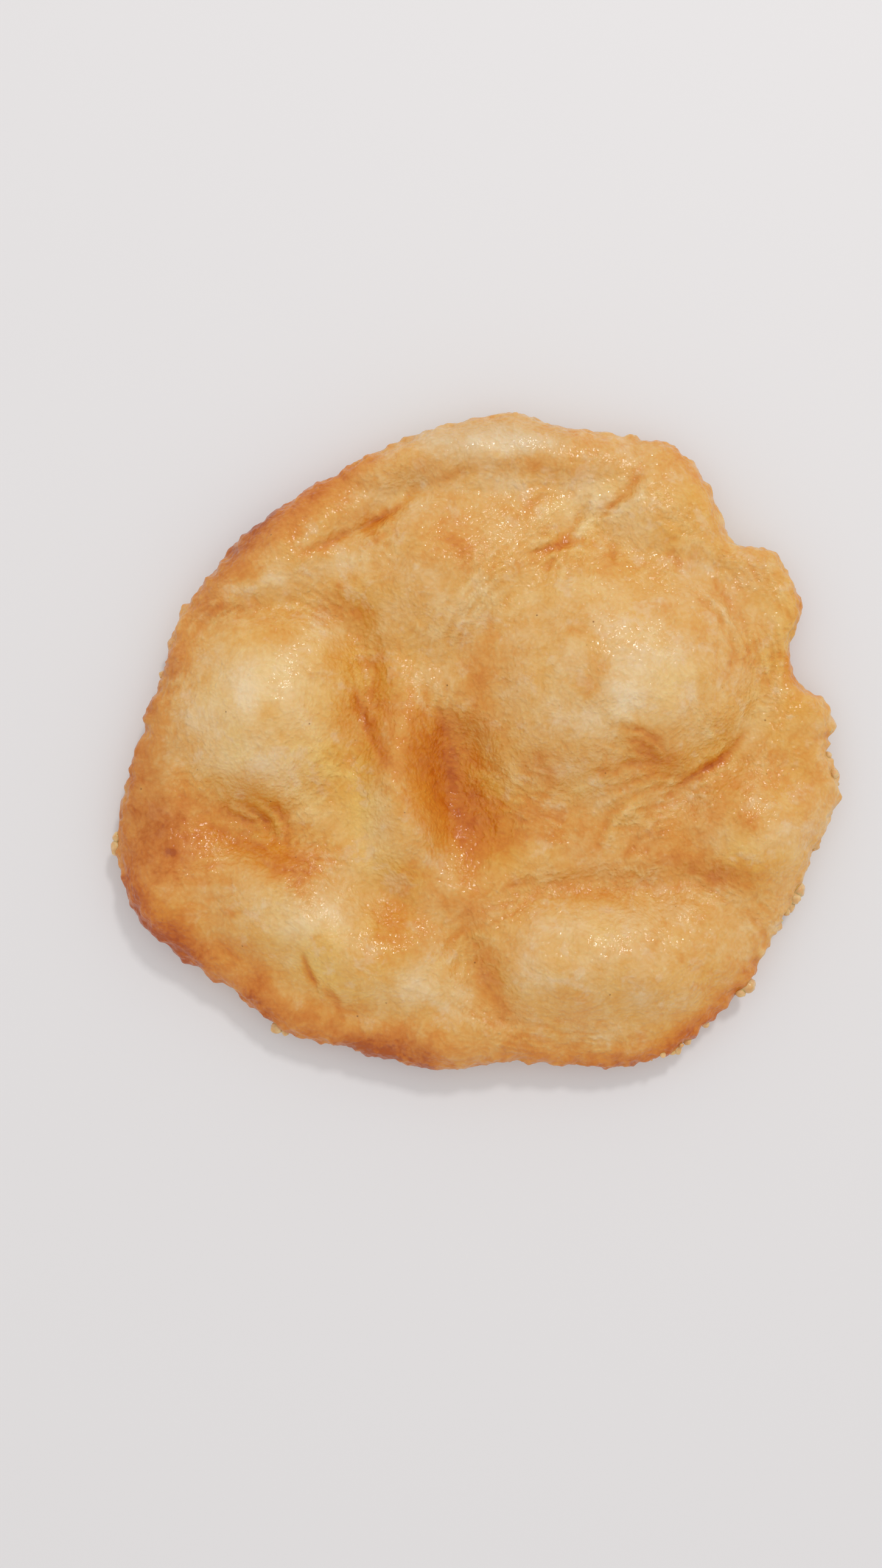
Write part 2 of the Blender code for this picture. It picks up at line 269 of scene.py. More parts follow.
# A crease's stain is how much browner it is than its surroundings, and its wall the side, left or
# right along the path, where torn skin ends in a sharp lip. Both run out at the path's ends.
Crease = namedtuple("Crease", "path width depth wall stain")
LEFT, RIGHT, NEITHER = 1, -1, 0
CREASES = (
    # the fold at the upper left
    Crease(((-40, 48), (-32, 51), (-27, 55), (-19, 58), (-12, 65)), 1.6, 0.7, LEFT, 0.11),
    Crease(((-31, 52), (-24, 54.5), (-17, 56)), 2.4, 0.3, NEITHER, 0.04),
    Crease(((-28, 54), (-21, 58), (-15, 62.5)), 0.9, 0.6, LEFT, 0.34),
    Crease(((-42, 47), (-36, 49.5), (-30, 53)), 1.2, 0.4, LEFT, 0.24),
    Crease(((-13, 62), (-6, 65), (1, 67)), 1.4, 0.4, LEFT, 0.18),
    # the tears between the great blister and the top rim
    Crease(((13, 45), (17, 48), (20, 49.5)), 1.0, 0.6, LEFT, 0.36),
    Crease(((19.5, 49.5), (22, 49), (24, 50)), 2.0, 0.9, RIGHT, 0.38),
    Crease(((20, 50), (25, 54), (28.5, 60)), 1.0, 0.5, RIGHT, 0.26),
    Crease(((31, 55), (35, 59), (41, 67)), 1.2, 0.5, RIGHT, 0.32),
    Crease(((31, 41), (33.5, 44), (34.5, 50)), 1.4, 0.5, RIGHT, 0.20),
    Crease(((17, 40), (18, 45.5)), 1.1, 0.4, RIGHT, 0.22),
    Crease(((10, 54), (14, 58), (21, 60)), 1.1, 0.4, LEFT, 0.12),
    Crease(((46, 44), (49, 46), (50, 41)), 1.1, 0.4, RIGHT, 0.16),
    # right of the left blister
    Crease(((-32, 12), (-27, 3), (-21, -7)), 1.6, 0.6, RIGHT, 0.32),
    # the star, where the great blister's skin is drawn together
    Crease(((31, 3), (39, 2), (45, -1), (48, -6), (51, -10)), 0.9, 0.4, LEFT, 0.10),
    Crease(((33, 3.5), (40, 1.5), (46, -3)), 0.6, 0.3, NEITHER, 0.18),
    Crease(((33, 0.5), (40, -1), (46, -4.5)), 0.6, 0.3, NEITHER, 0.20),
    Crease(((34, -2.5), (40, -3), (46, -5.5)), 0.6, 0.3, NEITHER, 0.20),
    Crease(((35, -5), (41, -5), (47, -6.5)), 0.6, 0.3, NEITHER, 0.18),
    Crease(((25, -9), (35, -6), (46, -7)), 0.9, 0.4, NEITHER, 0.16),
    Crease(((34, -12), (42, -9), (48, -9)), 0.8, 0.4, NEITHER, 0.15),
    Crease(((46, -15), (51, -10), (57, -6), (63, -1), (67, 3)), 0.8, 0.6, LEFT, 0.30),
    Crease(((67, 2), (68, 10), (70, 18), (68, 24)), 2.6, 0.4, NEITHER, 0.0),
    Crease(((35, -31), (41, -23), (48, -15)), 0.9, 0.6, RIGHT, 0.24),
    Crease(((41, -30), (46, -22), (52, -14)), 0.9, 0.4, RIGHT, 0.16),
    Crease(((29, -27), (33, -19), (40, -13)), 0.8, 0.4, RIGHT, 0.16),
    Crease(((51, 37), (56, 33), (60, 26)), 0.9, 0.4, NEITHER, 0.18),
    Crease(((57, 42), (61, 36), (63, 28)), 0.8, 0.4, NEITHER, 0.16),
    Crease(((61, 28), (63, 20), (61, 12)), 0.8, 0.4, NEITHER, 0.16),
    Crease(((65, 31), (67, 24), (66, 16)), 0.8, 0.3, NEITHER, 0.14),
    # the lower left ridge
    Crease(((-43, -52), (-41, -57), (-39, -61)), 1.2, 0.8, LEFT, 0.52),
    Crease(((-37, -60), (-33, -66)), 1.2, 0.4, LEFT, 0.28),
    # the dip under the left blister
    Crease(((-68, -15), (-60, -25), (-50, -31), (-40, -32)), 1.6, 0.5, LEFT, 0.12),
    Crease(((-64, -14), (-60, -18), (-55, -21)), 1.0, 0.35, NEITHER, 0.14),
    Crease(((-58, -14), (-53, -19), (-50, -25)), 0.9, 0.35, NEITHER, 0.16),
    Crease(((-54, -13), (-48, -19), (-46, -28)), 0.9, 0.35, NEITHER, 0.18),
    Crease(((-60, -22), (-54, -26), (-48, -29)), 0.9, 0.3, NEITHER, 0.14),
    # over the lower right blister
    Crease(((26, -36), (45, -35), (59, -32), (70, -33)), 2.6, 0.3, LEFT, 0.08),
    Crease(((64.5, -20), (67, -19.3)), 0.4, 0.2, NEITHER, 0.20),
    Crease(((65, -22), (67.5, -21)), 0.4, 0.2, NEITHER, 0.12),
    Crease(((-42, 18), (-39, 14)), 0.6, 0.3, NEITHER, 0.18),
)
LIP_WIDTH = 0.7  # how wide the sharp side of a crease is
CREASE_RUN_OUT = 0.5  # a lower power keeps a crease strong until nearer its ends
STAIN_SPREAD = 1.35  # how much wider a crease's stain is than the crease
RAGGED = ((9.0, 1.4), (3.4, 0.8), (1.6, 0.35))  # how torn the outlines are: wavelength and strength

# Ridges of thin, paler skin, crimped across
Ridge = namedtuple("Ridge", "path width rise")
RIDGES = (
    Ridge(((31, -26), (35, -19), (42, -14)), 1.3, 1.0),
    Ridge(((38, -27), (42, -21), (48, -15)), 1.1, 0.8),
    Ridge(((27, -20), (32, -15), (38, -12)), 1.0, 0.7),
    Ridge(((44, -26), (48, -19), (54, -12)), 1.0, 0.5),
    Ridge(((20, -14), (28, -10), (36, -9)), 1.2, 0.5),
    Ridge(((38, 0), (43, -2), (46, -5)), 0.9, 0.5),
    Ridge(((30, -1), (35, -3), (43, -5)), 1.0, 0.6),
    Ridge(((-62, 36), (-54, 38), (-46, 41)), 1.8, 0.5),
    Ridge(((-61, -15), (-56, -19), (-52, -24)), 0.9, 0.7),
    Ridge(((-56, -14), (-51, -18), (-48, -25)), 0.9, 0.7),
    Ridge(((-63, -19), (-57, -23), (-50, -28)), 0.9, 0.5),
    Ridge(((54, 0), (58, 3)), 2.2, 0.5),
    Ridge(((60, 32), (63, 26), (62, 18)), 0.9, 0.6),
    Ridge(((54, 38), (59, 32), (61, 26)), 0.9, 0.6),
    Ridge(((51, -8), (57, -3.5), (63, 2)), 0.8, 0.7),
    Ridge(((53, -12.5), (59, -8), (66, -1.5)), 0.8, 0.6),
    Ridge(((40, -9), (46, -10), (50, -13)), 0.8, 0.5),
    Ridge(((8, 62), (13, 63)), 1.6, 0.5),
    Ridge(((12, 47), (16, 50), (20, 52)), 0.9, 0.6),
    Ridge(((23, 50), (28, 55), (31, 61)), 0.9, 0.5),
    Ridge(((34, 55), (38, 59), (43, 65)), 0.9, 0.5),
    Ridge(((-30, -70), (-22, -72)), 2.0, 0.5),
    Ridge(((-3, -47), (6, -49)), 1.2, 0.4),
)
CRIMP_SPACING = 1.5  # between the crimps across a ridge
CRIMP = 0.22  # their height

WRINKLE = 0.52  # height of the wrinkles that ring the blisters and fan out of pinched places
WRINKLE_SPACING = 1.7
WRINKLE_KEENNESS = 4.0  # a higher power gives a wrinkle a keener crest
CREST_PAINTED_HIGHLIGHT = 0.26  # painted highlight: how much paler a wrinkle's crest is made
WRINKLED_SPACING = 13.0  # between wrinkled places and smooth ones
RING_PLACE = 0.95  # how far out in a blister's oval its wrinkles are strongest
RING_SPREAD = 0.26
RING_STRETCH = 5.0  # how much longer than wide a wrinkle in a ring is
FAN_EYE = (1.0, 5.0)  # the distances from a pinched place over which its wrinkles grow
FAN_CHANGES = 2.0  # how often a ray's wrinkle changes along its reach
Fan = namedtuple("Fan", "x y reach rays")  # a pinched place, whose wrinkles run out like rays
FANS = (
    Fan(51, -10, 26, 56),
    Fan(-47, -29, 18, 40),
    Fan(-22, -6, 14, 34),
    Fan(22, 50, 12, 34),
    Fan(-27, 54, 12, 30),
)
CRINKLE = 0.19  # height of the skin's finest crinkles that the mesh still holds
CRINKLE_SPACING = 1.9
UNDER_CRINKLE_SPACING = 3.0
SKIN_LUMP = 0.28  # height of the skin's small soft lumps
SKIN_LUMP_SPACING = 5.0
RELIEF_BAND = 4.0  # the skin's relief grows to its full height over this far from the rim
PimpleKind = namedtuple("PimpleKind", "number smallest largest steepness")
TOP_PIMPLES = PimpleKind(190, 0.8, 2.2, 0.20)  # small blisters: radii, and height as a share of them
UNDER_PIMPLES = PimpleKind(130, 1.6, 5.0, 0.16)
PIMPLE_REACH = 76.0  # how far from the middle they lie
PIMPLE_ROUNDNESS = 1.5  # a higher power gives a pimple softer flanks
UNDER_WRINKLE = 0.5  # depth of the puckers on the underside
UNDER_WRINKLE_SPACING = 6.0
UNDER_WRINKLE_KEENNESS = 5.0
PUCKERED_SPACING = 24.0  # between puckered places and smooth ones
UNDER_WRINKLED = 0.3  # how wrinkled the underside is all over, from 0 to 1

FLUTE = 0.5  # how deep the rim's fine upright flutes are
FLUTE_SPACING = 1.6
FLUTED_SPACING = 15.0  # between fluted stretches of the rim and smooth ones
FLUTE_CIRCLE = 90.0  # the radius of the circle round which the flutes' noise is read
RIM_KNOB = 1.0  # height of the lumps along the rim's nose
RIM_KNOB_SPACING = 3.8
RIM_PIMPLE = 0.5  # height of the small ones on them
RIM_PIMPLE_SPACING = 1.7
RIM_BAND = 2.8  # how far in from the nose flutes and knobs reach
Scallop = namedtuple("Scallop", "bearing out width")  # a round knob of crust on the rim's nose
SCALLOPS = (
    Scallop(7.0, 1.2, 1.3),
    Scallop(3.0, 2.3, 2.0),
    Scallop(359.8, 1.3, 1.2),
    Scallop(357.2, 0.9, 1.1),
    Scallop(354.9, 1.9, 1.7),
    Scallop(351.5, 1.0, 1.1),
    Scallop(343.2, 1.1, 1.3),
    Scallop(338.6, 0.9, 1.2),
    Scallop(329.0, 1.0, 1.2),
    Scallop(325.4, 0.9, 1.1),
    Scallop(320.6, 0.9, 1.2),
    Scallop(313.4, 1.1, 1.2),
    Scallop(310.6, 1.2, 1.3),
    Scallop(306.6, 1.2, 1.3),
    Scallop(301.4, 1.0, 1.2),
    Scallop(292.0, 0.8, 1.2),
    Scallop(28.5, 1.0, 1.4),
    Scallop(22.5, 1.1, 1.5),
    Scallop(229.5, 1.0, 1.3),
    Scallop(216.8, 1.1, 1.4),
    Scallop(155.0, 1.1, 1.3),
    Scallop(142.0, 1.0, 1.3),
)


def smooth_step(value, low, high):
    """0 below low, 1 above high, and a soft change between."""
    share = np.clip((value - low) / (high - low), 0.0, 1.0)
    return share * share * (3.0 - 2.0 * share)


def ragged(x, y):
    """The points, shifted so that a shape read at them has a torn outline."""
    shift_x = sum(strength * noise_at(x, y, wide) for wide, strength in RAGGED)
    shift_y = sum(strength * noise_at(y, -x, wide) for wide, strength in RAGGED)
    return x + shift_x, y + shift_y


def crease_strength(crease, x, y, spread=1.0):
    """1 along a crease, falling off softly, and sharply on the side with the lip."""
    strength = np.zeros_like(x)
    for share, away in path_legs(crease.path, x, y):
        sharp = away * crease.wall > 0
        width = np.where(sharp, min(LIP_WIDTH, crease.width), crease.width) * spread
        fade = end_fade(share, margin=0.03, power=CREASE_RUN_OUT)
        strength = np.maximum(strength, fade * np.exp(-((away / width) ** 2)))
    return strength


def crimped_ridge(ridge, x, y):
    """A ridge's height, and how far each point belongs to it."""
    height = np.zeros_like(x)
    belonging = np.zeros_like(x)
    length = math.dist(ridge.path[0], ridge.path[-1])
    for share, away in path_legs(ridge.path, x, y):
        body = end_fade(share, margin=0.02, power=1.0) * np.exp(-((away / ridge.width) ** 2))
        waves = np.sin(math.tau * (share * length + 0.5 * away) / CRIMP_SPACING)
        height = np.maximum(height, body * (ridge.rise + CRIMP * waves))
        belonging = np.maximum(belonging, body)
    return height, belonging


def ringed_noise(swell, x, y, spacing):
    """Noise drawn out into rings round a blister, from -1 to 1."""
    reach = oval_reach(swell, x, y)
    bearing = np.arctan2(y - swell.y, x - swell.x)
    size = 0.5 * (swell.length + swell.width)
    drawn_out = size / (RING_STRETCH * spacing)
    place = (drawn_out * np.cos(bearing), drawn_out * np.sin(bearing), reach * size / spacing)
    return noise_at(place[0] + swell.x, place[1] + swell.y, 1.0, place[2])


def fanned_noise(fan, x, y):
    """Noise drawn out along the rays of a fan, from -1 to 1."""
    distance = np.hypot(x - fan.x, y - fan.y)
    bearing = np.arctan2(y - fan.y, x - fan.x)
    across = fan.rays / math.tau
    along = distance / fan.reach * FAN_CHANGES
    return noise_at(across * np.cos(bearing), across * np.sin(bearing), 1.0, along)


def wrinkles(x, y):
    """The crests of the wrinkles, from 0 to 1, and how wrinkled each point is."""
    crests = np.zeros_like(x)
    extent = np.zeros_like(x)
    bands = []
    for swell in (GREAT_BLISTER, LEFT_BLISTER, LOWER_BLISTER):
        band = np.exp(-(((oval_reach(swell, x, y) - RING_PLACE) / RING_SPREAD) ** 2))
        bands.append((band, ringed_noise(swell, x, y, WRINKLE_SPACING)))
    for fan in FANS:
        distance = np.hypot(x - fan.x, y - fan.y)
        band = np.exp(-((distance / fan.reach) ** 2)) * smooth_step(distance, *FAN_EYE)
        bands.append((band, fanned_noise(fan, x, y)))
    for number, (band, drawn) in enumerate(bands):
        patchy = smooth_step(noise_at(x + 40 * number, y - 15, WRINKLED_SPACING), -0.30, 0.30)
        crests = np.maximum(crests, band * patchy * (1.0 - np.abs(drawn)) ** WRINKLE_KEENNESS)
        extent = np.maximum(extent, band * patchy)
    return crests, extent


def pimples(kind, x, y):
    """Small round blisters, kept off the rim, at random places that their number also seeds."""
    draw = random.Random(kind.number)
    height = np.zeros_like(x)
    for _ in range(kind.number):
        radius = draw.uniform(kind.smallest, kind.largest) ** 2 / kind.largest
        bearing = draw.uniform(0.0, math.tau)
        out = PIMPLE_REACH * math.sqrt(draw.random())
        near = (x - out * math.cos(bearing)) ** 2 + (y - out * math.sin(bearing)) ** 2
        dome = np.clip(1.0 - near / max(radius, kind.smallest) ** 2, 0.0, None)
        height = np.maximum(height, kind.steepness * radius * dome**PIMPLE_ROUNDNESS)
    return height


def puckers(x, y):
    """The net of fine puckers on the underside, from 0 to 1."""
    x, y = ragged(x, y)
    net = (1.0 - np.abs(noise_at(x, -y, UNDER_WRINKLE_SPACING))) ** UNDER_WRINKLE_KEENNESS
    return net * smooth_step(noise_at(y, x, PUCKERED_SPACING), -0.3, 0.4)


def fine_relief(x, y):
    """What the fried skin adds to the top's height."""
    torn = ragged(x, y)
    relief = -sum(crease.depth * crease_strength(crease, *torn) for crease in CREASES)
    relief += sum(crimped_ridge(ridge, *torn)[0] for ridge in RIDGES)
    relief += WRINKLE * wrinkles(x, y)[0] + pimples(TOP_PIMPLES, x, y)
    relief += SKIN_LUMP * noise_at(x, y, SKIN_LUMP_SPACING)
    return relief + CRINKLE * noise_at(x, y, CRINKLE_SPACING)


def fine_under_relief(x, y):
    """What the fried skin adds to the underside's height. Its blisters stand downward."""
    relief = UNDER_WRINKLE * puckers(x, y) - pimples(UNDER_PIMPLES, x, y)
    relief += CRINKLE * noise_at(x, y, UNDER_CRINKLE_SPACING)
    return relief + SKIN_LUMP * noise_at(x, y, SKIN_LUMP_SPACING)


# ---------------------------------------------------------------- how brown each place fried, and the light and shade painted on it

# Browning runs from 0, palest cream, to 1, red-brown. A patch adds its tone to what is around it.
Patch = namedtuple("Patch", "x y length width turn tone")
PATCHES = (
    # the pits and valleys, browner partly as they lay deepest in the oil and partly as painted shade on
    # their walls
    Patch(-4, -14, 19, 8, -62, 0.35),
    Patch(0, -25, 10, 5, -58, 0.05),
    Patch(-6, 4, 9, 8, 0, 0.12),
    Patch(-33, 32, 9, 4, -8, 0.26),
    Patch(-26, 18, 14, 5, -82, 0.12),
    Patch(-23, 6, 8, 5, -70, 0.10),
    Patch(1, 15, 4, 9, 0, 0.14),
    Patch(-20, -44, 8, 9, 30, 0.17),
    Patch(-16, -31, 3, 4, 0, 0.18),
    Patch(-51, -24, 14, 8, -25, 0.25),
    Patch(-43, -30, 10, 4, -5, 0.20),
    Patch(13, -20, 13, 8, -12, 0.20),
    Patch(66, -9, 9, 6, 30, 0.14),
    # towards the left rim: darker, partly its own browning and partly painted shade where it lay in
    # less light
    Patch(-73, -25, 12, 16, 0, 0.37),
    Patch(51, -24, 9, 9, 0, 0.18),
    # painted shade on the middle pit's right wall
    Patch(7, -19, 7, 8, 0, 0.10),
    Patch(-2, -26, 9, 5, -60, 0.07),
    Patch(52, -48, 8, 8, 0, 0.02),
    Patch(55, -32, 14, 5, -10, 0.26),
    Patch(25, -35, 15, 4, 4, 0.14),
    Patch(3, -58, 4, 12, 20, 0.24),
    Patch(27, -66, 8, 5, 0, 0.10),
    Patch(38, -3, 12, 5.5, -20, 0.26),
    Patch(57, -6, 9, 2.5, 38, 0.16),
    Patch(32, -9, 8, 4, -10, 0.08),
    # paler along the furrow right of the great blister: painted light against its shade
    Patch(68, 6, 6, 11, 10, -0.12),
    Patch(-4, 49, 7, 7, -30, 0.22),
    Patch(8, 42, 14, 5, 10, 0.08),
    Patch(-12, -4, 16, 15, 0, 0.13),
    Patch(-22, -4, 7, 12, 10, 0.06),
    Patch(8, 67, 8, 3, 10, 0.14),
    Patch(14, 66, 2.5, 2.5, 0, 0.16),
    Patch(36, -24, 18, 8, -18, 0.06),
    Patch(60, -13, 9, 7, 0, 0.08),
    Patch(-3, -42, 7, 13, 10, 0.18),
    Patch(2, 12, 5, 12, 10, 0.08),
    Patch(-62, 33, 7, 2.5, 10, 0.18),
    Patch(-47, 27, 5, 5, 0, 0.12),
    Patch(17, -5, 4, 6, 0, 0.16),
    Patch(66, -20, 4, 4, 0, 0.14),
    # spots where a thin skin caught
    Patch(28, 17.5, 3.8, 3.4, 0, 0.28),
    Patch(27, 12, 2.8, 2.8, 0, 0.26),
    Patch(24, 26, 3.0, 2.0, 0, 0.16),
    Patch(-60, -42, 1.5, 1.2, 0, 0.24),
    Patch(-39, -48, 1.3, 1.0, 0, 0.26),
    Patch(-75, -27, 1.5, 1.2, 0, 0.30),
    Patch(49, -53, 1.4, 1.2, 0, 0.20),
    Patch(42, -50, 2.4, 1.6, 0, 0.18),
    Patch(45, -44, 1.5, 1.2, 0, 0.16),
    Patch(29, -54, 1.6, 1.4, 0, 0.14),
    Patch(-34, 38, 1.8, 1.2, 0, 0.20),
    # the pale tops of the blisters, which stood out of the oil
    Patch(39, 15, 15, 12, -30, -0.33),
    Patch(28, 4, 9, 6, -20, -0.30),
    Patch(-6, 73, 18, 5, 0, -0.26),
    Patch(-48, 39, 7, 6, 30, -0.16),
    Patch(-40, 11, 6, 8, 0, -0.14),
    Patch(-28, -33, 8, 7, 0, -0.14),
    Patch(-1, 34, 6, 7, 0, -0.14),
    Patch(26, 57, 12, 5, 20, -0.12),
    Patch(28, -44, 20, 5, 2, -0.20),
    Patch(76, -26, 6, 9, 0, -0.16),
    Patch(-18, 60, 17, 6, 15, -0.16),
    Patch(-44, 19, 6, 20, -6, -0.16),
    Patch(-39, 1, 7, 9, 0, -0.16),
    Patch(38, 52, 12, 7, 0, -0.14),
    Patch(42, -15, 6, 5, 0, 0.10),
    Patch(73, -5, 5, 10, 0, 0.12),
    Patch(-56, 12, 14, 10, 20, -0.34),
    Patch(-54, -4, 13, 5, 0, -0.26),
    # painted light on the upper wall of the dip under the left blister, against its shade
    Patch(-59, -14, 6, 4, -20, -0.10),
    Patch(-37, 26, 5, 4, 0, -0.18),
    Patch(-30, 44, 8, 4, 20, -0.12),
    Patch(-27, 63, 8, 5, 20, -0.12),
    Patch(13, 73, 12, 3.5, 0, -0.22),
    # painted light along the lower flank of the band at the top rim, against its shade
    Patch(2, 63, 17, 3, 2, -0.12),
    Patch(18, 57, 6, 2.5, 20, -0.18),
    Patch(-27, -21, 7, 14, 10, -0.28),
    Patch(-42, -43, 16, 7, -14, -0.30),
    Patch(-38, -56, 13, 6, -28, -0.22),
    Patch(-15, -60, 11, 7, -20, -0.24),
    Patch(30, -52, 26, 9, 2, -0.15),
    Patch(12, -60, 6, 7, 0, -0.10),
    Patch(66, -25, 8, 4, 0, -0.14),
    Patch(10, -31, 7, 4, 10, -0.12),
    Patch(30, 62, 14, 5, 10, -0.12),
    Patch(-70, 5, 6, 8, 0, -0.10),
)
PATCH_SOFTNESS = 1.3  # a higher value keeps a patch nearer the middle of its oval
GOLDEN_LEVEL = 0.50  # how golden plain sheet is, from 0 to 1
GOLDEN_UNEVEN = 0.30  # how much that changes from place to place
GOLDEN_UNEVEN_SPACING = 7.0
HOLLOW_PAINTED_GLOW = 0.10  # painted warm glow: how much more golden a deep hollow is made, for light bouncing inside it
HOLLOW_DEPTHS = (0.2, 3.0)  # the depths over which that grows
GOLDEN_PATCHES = (  # yellower than the rest, or paler and pinker where the tone is negative
    Patch(34, 44, 26, 10, 0, 0.1),
    Patch(-12, 58, 10, 8, 0, -0.1),
    Patch(15, 38, 9, 6, 0, 0.3),
    Patch(-27, 18, 9, 22, 0, 0.45),
    Patch(-35, -9, 11, 16, 10, 0.5),
    Patch(-45, 32, 9, 9, 0, 0.3),
    Patch(-36, -56, 14, 8, -24, 0.6),
    Patch(-20, -44, 9, 10, 20, 0.3),
    Patch(58, -62, 14, 10, -40, 0.2),
    Patch(55, 58, 14, 12, 0, 0.4),
    Patch(22, 52, 10, 8, 0, 0.15),
    Patch(48, -5, 16, 8, 14, 0.2),
    Patch(60, 4, 10, 14, 0, 0.1),
    # the dip under the left blister and the middle pit: more golden, a painted warm glow in their shade
    Patch(-52, -23, 14, 9, -25, 0.3),
    Patch(-2, -12, 11, 22, 28, 0.5),
    Patch(0, -20, 14, 8, -60, 0.45),
    Patch(-20, -31, 10, 7, 0, 0.35),
    Patch(78, 14, 9, 30, 0, 0.4),
    Patch(83, 26, 6, 9, 0, 0.5),
    Patch(54, -74, 13, 6, 38, 0.6),
    Patch(-78, -50, 6, 12, 30, 1.0),
    Patch(66, -30, 12, 6, 0, 0.4),
    Patch(31, 10, 12, 9, 30, -0.25),
    # the left rim: duller and greyer, a painted cool reflection from its surroundings
    Patch(-84, -2, 11, 32, 0, -0.9),
    Patch(-60, 50, 24, 8, 48, -0.6),
    Patch(0, 76, 40, 9, 2, -0.5),
    Patch(-30, -76, 40, 7, -10, -0.2),
)

# Browner bands along the rim: its own browning, deepened with painted shade where the rim lay in less
# light.
RimTone = namedtuple("RimTone", "bearing spread tone band")  # band is how far in it reaches
RIM_TONES = (
    RimTone(137, 13, 0.66, 8.0),
    RimTone(168, 12, 0.34, 8.0),
    RimTone(190, 14, 0.32, 16.0),
    RimTone(204, 7, 0.42, 7.0),
    RimTone(214, 8, 0.54, 7.0),
    RimTone(231, 8, 0.48, 9.0),
    RimTone(247, 11, 0.50, 9.0),
    RimTone(258, 8, 0.50, 9.0),
    RimTone(279, 9, 0.30, 5.5),
    RimTone(292, 6, 0.44, 6.0),
    RimTone(305, 8, 0.50, 5.0),
    RimTone(318, 7, 0.26, 4.0),
    RimTone(12, 6, 0.26, 3.5),
    RimTone(24, 4, 0.20, 2.5),
    RimTone(119, 8, 0.44, 10.0),
    RimTone(57, 9, 0.16, 6.0),
)
RIM_TONE_UNEVEN = 0.45  # how uneven the inner edge of a rim's tone is
RIM_TONE_UNEVEN_SPACING = 6.0
RIM_FLECKS = 0.20  # how flecked the rim is
RIM_FLECK_SPACING = 2.6
RIM_FLECK_BAND = 4.0

RIDGE_PALENESS = 0.16  # how much paler a ridge of thin skin fried
WRINKLED_PAINTED_SHADE = 0.10  # painted shade: how much browner wrinkled skin is made, which darkens it between the crests
UNDER_TOAST = 0.02  # how much browner the underside is than the top
BULGE_TOAST = 0.05  # and how much more so for each millimetre that a bulge stands out
PIMPLE_TOAST = 0.30  # and for each millimetre that a blister stands out
UNDER_FLECK = 0.14  # how flecked the underside is
UNDER_FLECK_SPACING = 8.0
PUCKER_PALENESS = 0.22  # how much paler a pucker fried
TOAST_LEVEL = 0.355  # the browning of plain sheet
BLOTCHES = ((31.0, 0.08), (12.0, 0.12), (5.0, 0.08), (2.4, 0.06))  # wavelength and strength
BLOTCH_SHIFT = (-55.0, 35.0)  # where in the noise they are read
UNDER_BLOTCH_LEVEL = 90.0  # and the level of the noise at which the underside's are


def blotches(x, y, z=0.0):
    """Uneven browning, from broad clouds to small flecks."""
    x, y = x + BLOTCH_SHIFT[0], y + BLOTCH_SHIFT[1]
    return sum(strength * noise_at(x, y, wide, z) for wide, strength in BLOTCHES)


def patch_cover(patch, x, y):
    """1 in the middle of a patch, falling off softly past its oval."""
    return np.exp(-PATCH_SOFTNESS * oval_reach(patch, x, y) ** 2)


def patch_tone(x, y):
    """What the patches and creases add to the browning of the top, painted light and shade patches
    among them.
    """
    x, y = ragged(x, y)
    tone = np.zeros_like(x)
    for patch in PATCHES:
        tone += patch.tone * patch_cover(patch, x, y)
    for crease in CREASES:
        tone += crease.stain * crease_strength(crease, x, y, STAIN_SPREAD)
    for ridge in RIDGES:
        tone -= RIDGE_PALENESS * crimped_ridge(ridge, x, y)[1]
    return tone


def golden(x, y):
    """How golden the top is at each point, from 0 to 1, with a painted warm glow in its deep hollows.
    """
    hollow = smooth_step(troughs(x, y), *HOLLOW_DEPTHS)
    x, y = ragged(x, y)
    tone = sum(patch.tone * patch_cover(patch, x, y) for patch in GOLDEN_PATCHES)
    tone += GOLDEN_LEVEL + HOLLOW_PAINTED_GLOW * hollow
    return np.clip(tone + GOLDEN_UNEVEN * noise_at(x, y, GOLDEN_UNEVEN_SPACING), 0.0, 1.0)


def browning(x, y, bearings, reach, upper):
    """How brown the skin is at each point, from 0 to 1, painted light and shade included."""
    toast = TOAST_LEVEL + blotches(x, y, np.where(upper, 0.0, UNDER_BLOTCH_LEVEL))
    crests, wrinkled = wrinkles(x, y)
    # painted shade over wrinkled skin, and painted highlight along its crests
    top = patch_tone(x, y) + WRINKLED_PAINTED_SHADE * wrinkled - CREST_PAINTED_HIGHLIGHT * crests
    under = UNDER_TOAST + BULGE_TOAST * blend(UNDER_BULGES, x, y)
    under += UNDER_FLECK * noise_at(x, y, UNDER_FLECK_SPACING)
    under += PIMPLE_TOAST * pimples(UNDER_PIMPLES, x, y) - PUCKER_PALENESS * puckers(x, y)
    toast += np.where(upper, top, under)
    uneven = 1.0 + RIM_TONE_UNEVEN * noise_at(x, y, RIM_TONE_UNEVEN_SPACING)
    inward = (1.0 - reach) * rim_radius(bearings) * uneven
    for rim in RIM_TONES:
        along = np.exp(-((gap_between(bearings, rim.bearing) / rim.spread) ** 2))
        toast += rim.tone * along * np.exp(-((inward / rim.band) ** 2))
    return toast + np.exp(-inward / RIM_FLECK_BAND) * RIM_FLECKS * noise_at(x, y, RIM_FLECK_SPACING)


# ---------------------------------------------------------------- building the skin

